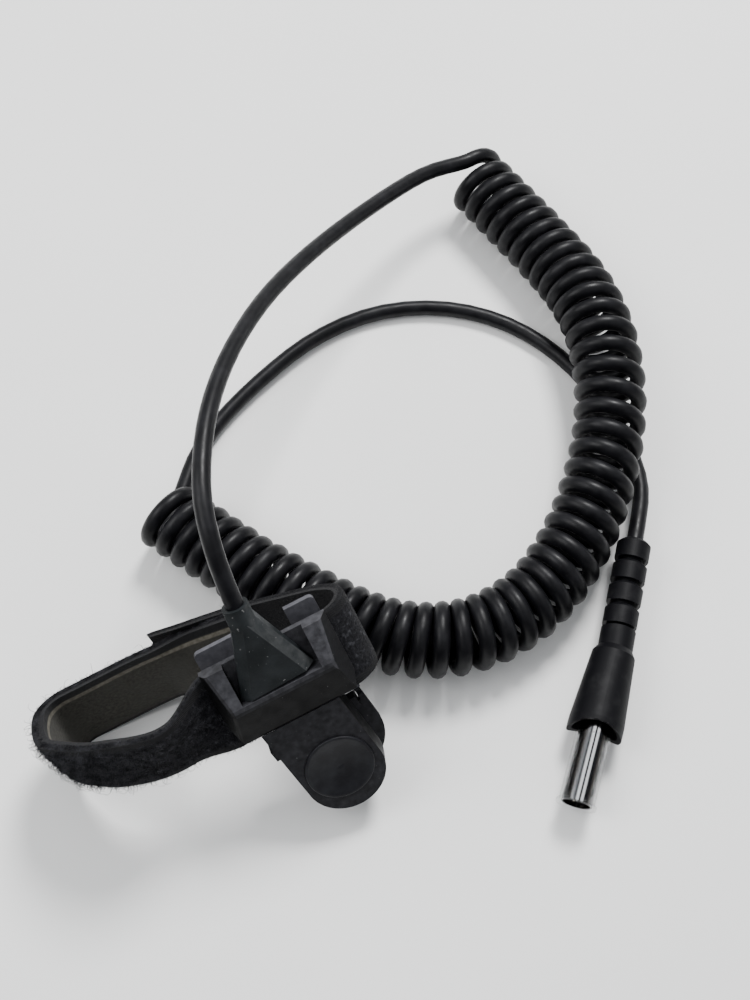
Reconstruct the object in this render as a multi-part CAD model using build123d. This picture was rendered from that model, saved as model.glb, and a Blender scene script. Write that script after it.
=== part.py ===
"""Adjustable wrist strap with a moulded bracket, a press-pad paddle, a rear spring clip,
a retractile cord and a round plug.

Millimetres, +Z up.  The assembly lies on a table, z = 0.  The bracket has its own frame:
x across it along the strap, y across the strap's width towards the cord, z outward from the wrist.
"""
import os
from math import cos, pi, radians, sin, tan

from build123d import *

# ---- how the pieces lie on the table ----
BRACKET_LEAN = 50.0            # the bracket's y axis above the horizontal
BRACKET_ROLL = 6.5             # its right-hand side is this much higher
BRACKET_YAW = -0.3
BRACKET_AT = (16.5, -2.5, 31.28)
BRACKET_X = -0.4
BRACKET_TURN = 3.0             # about its own z axis
STRAP_AT = (0.4, 1.5)
PADDLE_SWIVEL = 8.0            # the paddle points to the right of square
PADDLE_X = -0.9

# ---- bracket ----
REAR_PLATE_HALF = 14.4
REAR_PLATE_TOP = 15.7
REAR_PLATE_BACK = -5.0
REAR_PLATE_FRONT = -3.6
TAB_NOTCH = (-4.8, 7.4, 9.5)   # left, right and floor of the notch between the rear plate's two tabs
BRACKET_CORNER = 1.2
SKIN_BACK = -5.2
FRAME_TOP = 13.7
FRAME_BASE = (0.2, 1.7)
FRAME_DEPTH = 6.0              # height of the ridge round the boot
TIP_DEPTH = 3.6                # height of the cheeks at their upper ends
RIDGE_Y = 2.85                 # the bar's sloping face runs from the ridge down to its lower edge
RIDGE_X = 12.2
BAR_EDGE = (-6.1, 3.2)         # y and z of the bar's lower edge
BOTTOM_EDGE = (-11.7, -5.0)    # the bracket's slanting lower wall ends here, at the rear plate's back
POCKET = (-9.4, 9.5, 4.3)      # left, right and lower walls of the pocket that takes the boot
RIDGE_BEVEL = 0.45
FOOT_TOP = -9.0                # the slot for the strap is closed below this line
RIVET_PLACES = [(-5.5, 8.6), (-5.5, -5.5), (5.5, 8.6), (5.5, -5.5)]
FRAME_PLAN = [
    (-14.8, FRAME_TOP), (-14.8, -2.0), (-13.4, -5.8), (-12.4, -9.0),
    (12.4, -9.0), (13.8, -6.2), (15.2, -3.0), (15.2, FRAME_TOP),
]

# ---- strap ----
STRAP_WIDTH = 20.0
STRAP_MID = -2.35
PILE_THICKNESS = 1.9
LINING_THICKNESS = 1.0
TAIL_THICKNESS = 1.3
HOOK_THICKNESS = 0.8
MAIN_ROUTE = [
    (0.2, STRAP_MID), (-15.0, STRAP_MID), (-30.0, 3.2), (-43.5, -3.6), (-54.5, -14.5), (-51.5, -24.8),
    (-24.0, -24.5), (-3.0, -19.0),
]
MAIN_RADII = [22.0, 18.0, 24.0, 9.0, 6.0, 60.0]
TAIL_ROUTE = [
    (1.0, STRAP_MID), (14.5, STRAP_MID), (21.5, -7.0), (15.5, -13.3), (-4.0, -22.4), (-24.0, -28.8),
]
TAIL_RADII = [8.0, 4.5, 15.0, 40.0]

# ---- cord boot ----
BOOT_PLAN = [(-9.3, 4.5), (8.4, 5.4), (2.05, 22.5), (-3.75, 21.4)]
BOOT_FLOOR = 1.8
BOOT_HEIGHT = 5.8              # at its lower edge
BOOT_NECK_HEIGHT = 6.9
BOOT_BEVEL = 2.2
BOOT_CAVITY = [(-4.8, 7.3), (3.6, 7.3), (0.9, 17.0), (-2.6, 17.0)]
CUFF_RADIUS = 2.95
CUFF_LENGTH = 5.0
EXIT_TURN = 4.0                # the cord leaves this far to the right of the y axis
CUFF_AT = (-0.9, 21.3, 3.9)
RESISTOR_X = (-2.4, 1.2)
RESISTOR_Y = 9.6
RESISTOR_Z = 3.4
RESISTOR_RADIUS = 0.7
RESISTOR_LENGTH = 3.6
WIRE_RADIUS = 0.3
STUD_X = (-4.4, 2.9)
STUD_Y = 6.0
STUD_RADIUS = 1.0

# ---- paddle, its press pad and the rear clip ----
PADDLE_CENTRE = -25.4
PADDLE_RADIUS = 9.4
PADDLE_DRAFT = 0.8             # its sides spread by this much from the face to the split
PADDLE_BACK = -3.4
PADDLE_SPLIT = -1.2
PADDLE_FACE = 3.4
PADDLE_WALL = 1.2
LAP_ROOM = 3.0                 # its outline runs this far past the bar before it is cut to the bracket
NECK_WIDTH = 11.0
NECK_END = -14.6
NECK_PIN_Y = -13.3
PAD_CENTRE = -22.9
PAD_RADIUS = 8.0
PAD_RIM = 0.5
PAD_DISH = 0.7
PAD_GAP = 0.08
PLUNGER_END = 1.35
BOARD_TOP = 0.0
BOARD_RADIUS = 6.9
BOARD_THICKNESS = 0.8
DOME_HEIGHT = 0.45
CLIP_FACE = -5.3
CLIP_THICKNESS = 1.5
CLIP_RADIUS = 10.6
CLIP_OFFSET = 2.4              # the clip stands out past the paddle's right edge
CLIP_CENTRE = -23.0
CLIP_TOP = -12.0
CLIP_GAP = 0.4                 # between the clip's upper edge and the bracket's lower wall
HINGE_Y = -15.0
HINGE_Z = -5.9
HINGE_RADIUS = 0.8
HINGE_FIT = 0.05
EAR_RADIUS = 1.5
EAR_OUTER = 11.4
EAR_INNER = 9.5
BARREL_RADIUS = 1.7
SPRING_ROOM = 3.8
PADDLE_SCREW_X = (-7.2, 7.2)
PADDLE_SCREW_Y = -18.0

# ---- cord and plug ----
CORD_DIAMETER = 4.1
COIL_DIAMETER = 18.5
PLUG_AXIS_Z = 6.6
PLUG_MOUTH = (78.9, -34.4)
PLUG_HEADING = -131.3          # the way the plug points, in degrees about +Z
RELIEF_BEND = 3.5              # the strain relief bends this far from the plug's line
PLUG_BODY_LENGTH = 21.9
PLUG_MOUTH_RADIUS = 6.55
PLUG_SHOULDER_RADIUS = 5.2
MOUTH_SCOOP = 10.6             # radius of the hollow across the mouth's front edge
MOUTH_SCOOP_DEPTH = 2.0
RELIEF_RADIUS = 4.2
RELIEF_CORE = 2.9
RELIEF_RINGS = 4
RELIEF_PITCH = 5.9
RELIEF_SLIT = 0.7
RELIEF_NOTCH = 1.5
RELIEF_NECK = 5.0
RELIEF_END = RELIEF_NECK + RELIEF_RINGS * RELIEF_PITCH
SHELL_RADIUS = 3.65
SHELL_WALL = 0.45
SHELL_EXPOSED = 16.8
SHELL_SEAT = 10.0
PREMOULD_RADIUS = 4.1
PREMOULD_BACK = 18.5
INSERT_FACE = 8.5
PIN_RADIUS = 0.5
PIN_CIRCLE = 1.8
PIN_COUNT = 4
PIN_END = 14.5
SLEEVE_GAP = 0.06
SLEEVE_WALL = 0.5
SLEEVE_LIP = 4.75
SLEEVE_LIP_LENGTH = 0.7
SLEEVE_END = 17.3

LEAD_1_ROUTE = [
    (11.4, 14.9, 57.6), (11.7, 21.8, 63.0), (13.4, 31.7, 65.8), (18.8, 44.7, 64.8), (25.8, 57.2, 60.8),
    (35.3, 70.2, 54.6), (47.3, 83.2, 47.0), (61.3, 95.7, 39.2), (77.6, 106.7, 31.8), (94.6, 115.6, 25.4),
    (110.8, 120.4, 20.2), (121.9, 118.6, 17.0),
]
COIL_ROUTE = [
    (121.6, 121.3, 9.3), (125.3, 106.3, 9.3), (128.9, 90.3, 9.6), (131, 74.3, 11.4), (129.2, 59.3, 13.3),
    (124.7, 45.3, 13.3), (117.7, 32.3, 12.4), (107.6, 19.6, 11.8), (96.0, 8.8, 10.2), (82.2, 0.5, 9.3),
    (67.2, -2.3, 9.3), (53.2, 0.7, 9.3), (41.2, 8.8, 9.3), (29.2, 23.8, 9.3), (17.7, 39.8, 9.3),
    (7.4, 58.3, 9.3),
]
LEAD_2_ROUTE = [
    (7.8, 57.3, 2.4), (13.7, 65.3, 2.1), (20.7, 74.3, 2.1), (31.2, 81.8, 2.1), (46.2, 88.8, 2.1),
    (62.2, 94.3, 2.1), (80.2, 95.3, 2.1), (97.2, 89.8, 2.1), (110.7, 79.3, 2.1), (119.7, 64.8, 2.1),
    (123.8, 49.3, 2.1), (124.6, 34.3, 2.1), (121.7, 19.0, 3.8),
]


# ---- frames ----
LEANING = Pos(*BRACKET_AT) * Rot(0, 0, BRACKET_YAW) * Rot(0, -BRACKET_ROLL, 0) * Rot(BRACKET_LEAN, 0, 0)
BRACKET = LEANING * Pos(BRACKET_X, 0, 0) * Rot(0, 0, BRACKET_TURN)
STRAP = BRACKET * Pos(*STRAP_AT, 0)
PADDLE = BRACKET * Pos(PADDLE_X, 0, 0) * Rot(0, 0, PADDLE_SWIVEL)


def plug_frame(heading, x, y):
    """A frame whose z axis points along the plug, level with the table."""
    turn = radians(heading)
    return Plane(origin=(x, y, PLUG_AXIS_Z), x_dir=(0, 0, 1), z_dir=(cos(turn), sin(turn), 0)).location


def slab(points, low, high):
    """A flat-sided plate between two heights, from its outline in x and y."""
    return extrude(Plane.XY.offset(low) * make_face(Polyline(*points, close=True)), high - low)


def block(x, y, z):
    """A box between two values on each axis."""
    return Pos(sum(x) / 2, sum(y) / 2, sum(z) / 2) * Box(x[1] - x[0], y[1] - y[0], z[1] - z[0])


def rod(radius, low, high):
    """A cylinder along z between two heights."""
    return Pos(0, 0, (low + high) / 2) * Cylinder(radius, high - low)


def ring(outer, inner, low, high):
    """A tube along z between two heights."""
    return rod(outer, low, high) - rod(inner, low - 1, high + 1)


# ---- bracket ----
def below_wall(gap=0.0):
    """The room below the bracket's slanting lower wall, this far from it."""
    edge_y, edge_z = BAR_EDGE
    end_y, end_z = BOTTOM_EDGE
    run = (end_y - edge_y) / (end_z - edge_z)
    far = 10.0
    profile = Polyline(
        (edge_y - gap, far), (edge_y - gap, edge_z), (end_y - gap - run * far, end_z - far),
        (-40, end_z - far), (-40, far), close=True)
    return Pos(-40, 0, 0) * extrude(Plane.YZ * make_face(profile), 80)


def rear_plate():
    """The plate behind the strap, with two tabs above it."""
    half = REAR_PLATE_HALF
    left, right, notch_floor = TAB_NOTCH
    plate = block((-half, half), (BOTTOM_EDGE[0], REAR_PLATE_TOP), (REAR_PLATE_BACK, REAR_PLATE_FRONT))
    plate = fillet(plate.edges().filter_by(Axis.Z), BRACKET_CORNER)
    plate -= block((left, right), (notch_floor, REAR_PLATE_TOP + 1), (REAR_PLATE_BACK - 1, 0))
    plate += block((-half + 2, half - 2), (BOTTOM_EDGE[0], FOOT_TOP), (REAR_PLATE_FRONT, FRAME_BASE[0] - 0.8))
    plate -= below_wall()
    plate -= block((-9, 9), (-8.5, 9.5), (REAR_PLATE_BACK, REAR_PLATE_BACK + 0.5))
    for x, y in RIVET_PLACES:
        plate -= Pos(x, y, 0) * rod(0.8, REAR_PLATE_BACK, REAR_PLATE_FRONT)
    return plate


def front_frame():
    """A tray with sloping outer walls, open towards the cord, and the tab that carries the paddle."""
    base, floor = FRAME_BASE
    left, right, lower = POCKET
    edge_y, edge_z = BAR_EDGE
    frame = slab(FRAME_PLAN, base, FRAME_DEPTH)
    side_view = Polyline(
        (FRAME_TOP, base), (FRAME_TOP, TIP_DEPTH), (lower, FRAME_DEPTH), (RIDGE_Y, FRAME_DEPTH),
        (edge_y, edge_z), (-9.0, edge_z), (-9.0, base), close=True)
    frame &= Pos(-20, 0, 0) * extrude(Plane.YZ * make_face(side_view), 40)
    outer = FRAME_PLAN[-1][0]
    end_view = Polyline(
        (-RIDGE_X, FRAME_DEPTH), (-outer, floor - 0.7), (-outer, base), (outer, base), (outer, floor - 0.7),
        (RIDGE_X, FRAME_DEPTH), close=True)
    frame &= Pos(0, 20, 0) * extrude(Plane.XZ * make_face(end_view), 40)
    frame = chamfer(ridge_edges(frame), RIDGE_BEVEL)
    frame -= block((left, right), (lower, 20), (floor, 10))
    frame -= below_wall()
    for x, y in RIVET_PLACES:
        frame -= Pos(x, y, 0) * rod(0.8, base, floor)
    for x in STUD_X:
        frame -= Pos(x, STUD_Y, 0) * rod(STUD_RADIUS, base, floor)
    half = NECK_WIDTH / 2
    neck = block((-half, half), (NECK_END, -6.5), (base, 1.6))
    neck += block((-half, half), (NECK_END, -9.2), (-0.8, base))
    frame += Pos(PADDLE_X, 0, 0) * neck
    frame -= Pos(PADDLE_X, NECK_PIN_Y, 0) * rod(0.9, -1.0, 1.8)
    return frame


def ridge_edges(frame):
    """The edges of the frame's flat top, along the bar and both cheeks."""
    return frame.edges().filter_by(
        lambda edge: edge.center().Z > (TIP_DEPTH + FRAME_DEPTH) / 2 - 0.1 and edge.center().Y < FRAME_TOP - 1
        and (abs(abs(edge.center().X) - RIDGE_X) < 1.0 or abs(edge.center().Y - RIDGE_Y) < 0.2))


def strap_rivets():
    rivets = []
    for x, y in RIVET_PLACES:
        shank = rod(0.75, REAR_PLATE_BACK + 0.5, FRAME_BASE[1])
        rivets.append(Pos(x, y, 0) * shank)
    return Compound(rivets)


def skin_contact():
    """The metal plate that touches the wrist, let into the rear plate's back."""
    plate = block((-8.9, 8.9), (-8.4, 9.4), (SKIN_BACK, REAR_PLATE_BACK + 0.45))
    return fillet(plate.edges().filter_by(Axis.Z), 1.0)


# ---- strap ----
def band(route, radii, low, high):
    """A layer of the strap: from low to high outward of its route, across the strap's width."""
    path = Plane.XZ * FilletPolyline(*route, radius=radii)
    start = Plane(origin=path @ 0, x_dir=(0, 1, 0), z_dir=path % 0)
    outward = 1 if start.y_dir.Z > 0 else -1
    section = start * Pos(0, outward * (low + high) / 2, 0) * Rectangle(STRAP_WIDTH, high - low)
    layer = sweep(section, path)
    for x, y in RIVET_PLACES:
        layer -= Pos(x - STRAP_AT[0], y - STRAP_AT[1], 0) * rod(0.8, REAR_PLATE_FRONT, FRAME_BASE[0])
    return layer


def strap_main():
    return band(MAIN_ROUTE, MAIN_RADII, 0.0, PILE_THICKNESS)


def strap_lining():
    return band(MAIN_ROUTE, MAIN_RADII, -LINING_THICKNESS, 0.0)


def strap_tail():
    return band(TAIL_ROUTE, TAIL_RADII, 0.0, TAIL_THICKNESS)


def tail_hooks():
    return band(TAIL_ROUTE, TAIL_RADII, -HOOK_THICKNESS, 0.0)


# ---- cord boot ----
EXIT = Pos(*CUFF_AT) * Rot(0, 0, -EXIT_TURN) * Rot(-90, 0, 0)


def cord_boot():
    lower_y = BOOT_PLAN[0][1]
    neck_y = BOOT_PLAN[2][1]
    rise = (BOOT_NECK_HEIGHT - BOOT_HEIGHT) / (neck_y - lower_y)
    slope = Plane(origin=(0, lower_y, BOOT_HEIGHT), x_dir=(1, 0, 0), z_dir=(0, -rise, 1))
    boot = split(slab(BOOT_PLAN, BOOT_FLOOR, BOOT_NECK_HEIGHT + 1), slope, keep=Keep.BOTTOM)
    sides = boot.edges().filter_by(
        lambda edge: edge.center().Z > BOOT_HEIGHT and lower_y + 2 < edge.center().Y < neck_y - 2)
    boot = chamfer(sides, BOOT_BEVEL)
    boot -= slab(BOOT_CAVITY, 2.6, 4.2)
    boot -= EXIT * (rod(0.9, -6.0, 1.0) + rod(CUFF_RADIUS, 0.03, CUFF_LENGTH))
    for x in STUD_X:
        boot -= Pos(x, STUD_Y, 0) * rod(STUD_RADIUS, BOOT_FLOOR - 0.1, 3.0)
    return boot


def boot_cuff():
    """The ring round the cord where it leaves the boot."""
    return EXIT * ring(CUFF_RADIUS, CORD_DIAMETER / 2, 0.05, CUFF_LENGTH)


def wire(points, radius):
    """A round wire along straight runs."""
    piece = Pos(*points[0]) * Sphere(radius)
    for start, end in zip(points, points[1:]):
        run = Vector(*end) - Vector(*start)
        piece += Plane(origin=start, z_dir=run).location * rod(radius, 0, run.length)
        piece += Pos(*end) * Sphere(radius)
    return piece


def boot_wires():
    """The two conductors inside the boot, from the cord to the resistors."""
    wires = []
    for x in RESISTOR_X:
        cord_end = (CUFF_AT[0] + 0.2 * (x - CUFF_AT[0]), 16.4, RESISTOR_Z)
        resistor_end = (x, RESISTOR_Y + RESISTOR_LENGTH / 2 + WIRE_RADIUS + 0.05, RESISTOR_Z)
        wires.append(wire([cord_end, (x, 13.4, RESISTOR_Z), resistor_end], WIRE_RADIUS))
    return Compound(wires)


def safety_resistors():
    bodies = []
    for x in RESISTOR_X:
        body = rod(RESISTOR_RADIUS, -RESISTOR_LENGTH / 2, RESISTOR_LENGTH / 2)
        body = Pos(x, RESISTOR_Y, RESISTOR_Z) * Rot(90, 0, 0) * body
        bodies.append(body)
    return Compound(bodies)


def contact_studs():
    """The boot's two snap studs, which sit in the bracket's floor."""
    studs = []
    for x in STUD_X:
        studs.append(Pos(x, STUD_Y, 0) * rod(STUD_RADIUS, FRAME_BASE[0] + 0.1, 3.0))
    return Compound(studs)


# ---- paddle, press pad and rear clip ----
def paddle_outline(inset, extra=0.0):
    """The paddle's outline: square at the bracket, round at the tip."""
    radius = PADDLE_RADIUS - inset + extra
    head = Pos(0, PADDLE_CENTRE) * Circle(radius)
    top = BAR_EDGE[0] + LAP_ROOM
    neck = Pos(0, (PADDLE_CENTRE + top) / 2) * Rectangle(2 * radius, top - PADDLE_CENTRE)
    return head + neck


def in_bracket(shape):
    """A shape made in the bracket's frame, as it lies in the paddle's."""
    return Rot(0, 0, -PADDLE_SWIVEL) * Pos(-PADDLE_X, 0, 0) * shape


def clear_of_bracket(shape, gap=0.12):
    """A paddle piece cut off along the bracket's slanting lower wall."""
    return shape & in_bracket(below_wall(gap))


def neck_room():
    """The socket that takes the bracket's neck tab."""
    half = NECK_WIDTH / 2 + 0.05
    socket = block((-half, half), (NECK_END - 0.1, -6.0), (-0.85, 1.65))
    return in_bracket(Pos(PADDLE_X, 0, 0) * socket)


def paddle_front():
    lower = Plane.XY.offset(PADDLE_SPLIT) * paddle_outline(0.0, PADDLE_DRAFT)
    upper = Plane.XY.offset(PADDLE_FACE) * paddle_outline(0.0)
    shell = clear_of_bracket(loft([lower, upper]))
    room_height = PADDLE_FACE - PADDLE_SPLIT - PADDLE_WALL
    room = extrude(Plane.XY.offset(PADDLE_SPLIT) * paddle_outline(PADDLE_WALL), room_height)
    shell -= clear_of_bracket(room, PADDLE_WALL)
    shell -= Pos(0, PAD_CENTRE, 0) * rod(PAD_RADIUS + PAD_GAP, PADDLE_FACE - 2, PADDLE_FACE + 1)
    shell -= neck_room()
    return shell


def paddle_back():
    shell = extrude(Plane.XY.offset(PADDLE_BACK) * paddle_outline(0.0, PADDLE_DRAFT - 0.3),
                    PADDLE_SPLIT - PADDLE_BACK - 0.03)
    room = Plane.XY.offset(PADDLE_BACK + 1.0) * paddle_outline(PADDLE_WALL + 0.4)
    room = extrude(room, PADDLE_SPLIT - PADDLE_BACK)
    shell -= room - block((-40, 40), (PADDLE_SCREW_Y - 2.0, 40), (-20, 20))
    stem_height = PADDLE_BACK + 1.0 - HINGE_Z
    profile = Pos(HINGE_Y, HINGE_Z) * Circle(EAR_RADIUS)
    profile += Pos(HINGE_Y, HINGE_Z + stem_height / 2) * Rectangle(2 * EAR_RADIUS, stem_height)
    for start in (EAR_INNER, -EAR_OUTER):
        shell += Pos(start, 0, 0) * extrude(Plane.YZ * profile, EAR_OUTER - EAR_INNER)
    shell = clear_of_bracket(shell)
    shell -= Pos(0, HINGE_Y, HINGE_Z) * Rot(0, 90, 0) * rod(HINGE_RADIUS, -EAR_OUTER + 0.5, EAR_OUTER - 0.5)
    for x in PADDLE_SCREW_X:
        shell -= Pos(x, PADDLE_SCREW_Y, 0) * rod(0.8, PADDLE_BACK, PADDLE_SPLIT)
    return shell


def paddle_screws():
    screws = []
    for x in PADDLE_SCREW_X:
        screws.append(Pos(x, PADDLE_SCREW_Y, 0) * rod(0.75, PADDLE_BACK + 0.1, PADDLE_SPLIT - 0.05))
    return Compound(screws)


def neck_pin():
    """The pin that fixes the paddle to the bracket's neck tab."""
    return in_bracket(Pos(PADDLE_X, NECK_PIN_Y, 0) * rod(0.88, -1.1, 1.9))


def press_pad():
    """A round pad with a thin raised rim and a dished face, on a plunger."""
    top = PADDLE_FACE + PAD_RIM
    pad = rod(PAD_RADIUS, PADDLE_FACE - 1.4, top)
    pad = fillet(pad.edges().group_by(Axis.Z)[-1], PAD_RIM / 2)
    dish_edge = PAD_RADIUS - 0.6
    dish_radius = (dish_edge ** 2 + PAD_DISH ** 2) / (2 * PAD_DISH)
    pad -= Pos(0, 0, top - PAD_DISH + dish_radius) * Sphere(dish_radius)
    pad += rod(2.0, PLUNGER_END, PADDLE_FACE - 1.4)
    return Pos(0, PAD_CENTRE, 0) * pad


def switch_board():
    return Pos(0, PAD_CENTRE, 0) * rod(BOARD_RADIUS, BOARD_TOP - BOARD_THICKNESS, BOARD_TOP)


def dome_contact():
    """The snap dome under the pad."""
    return Pos(0, PAD_CENTRE, BOARD_TOP) * (rod(3.0, 0, 0.15) + rod(2.2, 0.1, DOME_HEIGHT))


def hinge_pin():
    return Pos(0, HINGE_Y, HINGE_Z) * Rot(0, 90, 0) * rod(HINGE_RADIUS, -EAR_OUTER + 0.5, EAR_OUTER - 0.5)


def clip_spring():
    """The torsion spring round the pin, between the clip's two barrels."""
    coil = ring(1.45, HINGE_RADIUS + 0.1, -3.2, 3.2)
    return Pos(0, HINGE_Y, HINGE_Z) * Rot(0, 90, 0) * coil


def rear_clip():
    outline = Pos(CLIP_OFFSET, CLIP_CENTRE) * Circle(CLIP_RADIUS)
    sides = Rectangle(2 * CLIP_RADIUS, CLIP_TOP - CLIP_CENTRE)
    outline += Pos(CLIP_OFFSET, (CLIP_CENTRE + CLIP_TOP) / 2) * sides
    leaf = extrude(Plane.XY.offset(CLIP_FACE - CLIP_THICKNESS) * outline, CLIP_THICKNESS)
    leaf -= in_bracket(block((-40, 40), (BOTTOM_EDGE[0] - CLIP_GAP, 40), (-20, 20)))
    jaw = block((-4.5, 4.5), (-0.7, 0.7), (CLIP_FACE - 0.1, PADDLE_BACK - 0.35))
    leaf += Pos(CLIP_OFFSET, CLIP_CENTRE - CLIP_RADIUS + 2.2, 0) * jaw
    for side in (-1, 1):
        notch_x = sorted((side * (EAR_INNER - 0.3), side * (EAR_OUTER + 0.3)))
        leaf -= block(notch_x, (HINGE_Y - EAR_RADIUS - 0.4, HINGE_Y + EAR_RADIUS + 0.4), (-9, -3))
    leaf -= block((-SPRING_ROOM, SPRING_ROOM), (HINGE_Y - 2.0, HINGE_Y + 2.0), (-9, -3))
    for side in (-1, 1):
        barrel = rod(BARREL_RADIUS, SPRING_ROOM, EAR_INNER - 0.3)
        leaf += Pos(0, HINGE_Y, HINGE_Z) * Rot(0, 90 * side, 0) * barrel
    leaf -= Pos(0, HINGE_Y, HINGE_Z) * Rot(0, 90, 0) * rod(HINGE_RADIUS + HINGE_FIT, -14, 14)
    return leaf


# ---- plug ----
PLUG = plug_frame(PLUG_HEADING, *PLUG_MOUTH)
RELIEF = PLUG * Pos(0, 0, -PLUG_BODY_LENGTH) * Rot(RELIEF_BEND, 0, 0)


def plug_body():
    back = -PLUG_BODY_LENGTH
    profile = Polyline(
        (0, back), (PLUG_SHOULDER_RADIUS - 1.0, back), (PLUG_SHOULDER_RADIUS, back + 1.6),
        (PLUG_MOUTH_RADIUS, -3.0), (PLUG_MOUTH_RADIUS, 0), (0, 0), close=True)
    body = revolve(Plane.XZ * make_face(profile), Axis.Z)
    scoop = Pos(0, 0, MOUTH_SCOOP - MOUTH_SCOOP_DEPTH) * Rot(0, 90, 0) * rod(MOUTH_SCOOP, -10, 10)
    body -= scoop
    body -= rod(PLUG_MOUTH_RADIUS - 1.1, -4.0, 1.0)
    body -= rod(SHELL_RADIUS, -SHELL_SEAT, 0)
    body -= rod(PREMOULD_RADIUS, -PREMOULD_BACK, -SHELL_SEAT)
    return body


def plug_premould():
    """The hard block inside the plug that holds the contacts and the end of the cord."""
    return rod(PREMOULD_RADIUS, -PREMOULD_BACK, -SHELL_SEAT)


def plug_shell():
    return ring(SHELL_RADIUS, SHELL_RADIUS - SHELL_WALL, -SHELL_SEAT, SHELL_EXPOSED)


def plug_insert():
    insert = rod(SHELL_RADIUS - SHELL_WALL, -SHELL_SEAT, INSERT_FACE)
    for place in pin_places():
        insert -= place * rod(PIN_RADIUS, -SHELL_SEAT - 1, INSERT_FACE + 1)
    return insert


def pin_places():
    return [Rot(0, 0, 45 + 360 * k / PIN_COUNT) * Pos(PIN_CIRCLE, 0, 0) for k in range(PIN_COUNT)]


def plug_pins():
    pin = rod(PIN_RADIUS, -SHELL_SEAT, PIN_END - PIN_RADIUS)
    pin += Pos(0, 0, PIN_END - PIN_RADIUS) * Sphere(PIN_RADIUS)
    return Compound([place * pin for place in pin_places()])


def clear_sleeve():
    bore = SHELL_RADIUS + SLEEVE_GAP
    sleeve = ring(bore + SLEEVE_WALL, bore, 0.4, SLEEVE_END)
    return sleeve + ring(SLEEVE_LIP, bore, SLEEVE_END - SLEEVE_LIP_LENGTH, SLEEVE_END)


def strain_relief():
    """Ringed strain relief: a plain neck at the plug, then rings with slits and side notches."""
    relief = rod(RELIEF_RADIUS, -RELIEF_NECK, 0.5) - Rot(-RELIEF_BEND, 0, 0) * rod(10, 0, 5)
    for k in range(RELIEF_RINGS):
        end = -RELIEF_NECK - k * RELIEF_PITCH
        relief += rod(RELIEF_CORE, end - RELIEF_SLIT, end)
        collar = rod(RELIEF_RADIUS, end - RELIEF_PITCH, end - RELIEF_SLIT)
        relief += chamfer(collar.edges().group_by(Axis.Z)[0], 0.8)
        for side in (-1, 1):
            outer = side * (RELIEF_RADIUS + 1)
            inner = side * (RELIEF_RADIUS - RELIEF_NOTCH)
            notch = Polyline((outer, end + 0.4), (inner, end - 0.3), (outer, end - 1.9), close=True)
            relief -= Pos(-5, 0, 0) * extrude(Plane.YZ * make_face(notch), 10)
    return relief


# ---- cord ----
def corner_radii(route):
    """Each corner's arc: as large as its two runs allow."""
    points = [Vector(*point) for point in route]
    radii = []
    for before, corner, after in zip(points, points[1:], points[2:]):
        arriving = corner - before
        leaving = after - corner
        turn = radians(arriving.get_angle(leaving))
        shorter = min(arriving.length, leaving.length)
        radii.append(0.45 * shorter / tan(turn / 2))
    return radii


def tube(name, route, diameter):
    """A cord or a coil as a plain tube of one diameter along its route."""
    radii = corner_radii(route)
    path = FilletPolyline(*route, radius=radii)
    section = Plane(origin=path @ 0, z_dir=path % 0) * Circle(diameter / 2)
    solid = sweep(section, path)
    share = solid.volume / (pi * diameter ** 2 / 4 * path.length)
    print(f"{name}: length {path.length:.1f}, smallest radius {min(radii):.1f}, volume share {share:.4f}")
    print("   radii", [round(radius, 1) for radius in radii])
    return solid


def world(point, frame):
    """A point of a local frame, in the world's."""
    place = (frame * Pos(*point)).position
    return (place.X, place.Y, place.Z)


def lead_1_route():
    exit_frame = BRACKET * EXIT
    return [world((0, 0, 0), exit_frame)] + LEAD_1_ROUTE


def lead_2_route():
    return LEAD_2_ROUTE + [world((0, 0, -RELIEF_END - 5.5), RELIEF), world((0, 0, -RELIEF_END), RELIEF)]


def main():
    os.makedirs("parts", exist_ok=True)
    groups = {
        BRACKET: (rear_plate, front_frame, strap_rivets, skin_contact, cord_boot, boot_cuff,
                  boot_wires, safety_resistors, contact_studs),
        STRAP: (strap_main, strap_lining, strap_tail, tail_hooks),
        PADDLE: (paddle_front, paddle_back, paddle_screws, neck_pin, press_pad, switch_board, dome_contact,
                 hinge_pin, clip_spring, rear_clip),
        PLUG: (plug_body, plug_premould, plug_shell, plug_insert, plug_pins, clear_sleeve),
        RELIEF: (strain_relief,),
    }
    for frame, pieces in groups.items():
        for piece in pieces:
            export_step(frame * piece(), f"parts/{piece.__name__}.step")
    export_step(tube("lead_1", lead_1_route(), CORD_DIAMETER), "parts/lead_1.step")
    export_step(tube("coil", COIL_ROUTE, COIL_DIAMETER), "parts/coil.step")
    export_step(tube("lead_2", lead_2_route(), CORD_DIAMETER), "parts/lead_2.step")


main()
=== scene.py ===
"""Looks of the wrist strap with its coiled cord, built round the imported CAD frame.

Metres, in the CAD's own frame: +Z up, the table at z = 0.
"""
import math
import random

import bpy
from mathutils import Euler, Matrix, Vector, noise


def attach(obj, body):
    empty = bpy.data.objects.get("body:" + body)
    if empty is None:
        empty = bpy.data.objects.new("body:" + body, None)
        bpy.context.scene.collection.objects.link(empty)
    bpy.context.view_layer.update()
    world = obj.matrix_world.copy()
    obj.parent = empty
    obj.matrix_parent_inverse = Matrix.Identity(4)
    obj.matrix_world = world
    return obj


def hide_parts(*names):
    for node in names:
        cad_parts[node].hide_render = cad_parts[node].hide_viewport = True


MM = 0.001

# ---- camera ----
LOOK_AT = Vector((0.0582, 0.0443, 0.0))
CAMERA_DISTANCE = 0.359
CAMERA_ELEVATION = 65.0
CAMERA_HEADING = 24.0          # clockwise from +Y
LENS = 50.4

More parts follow.
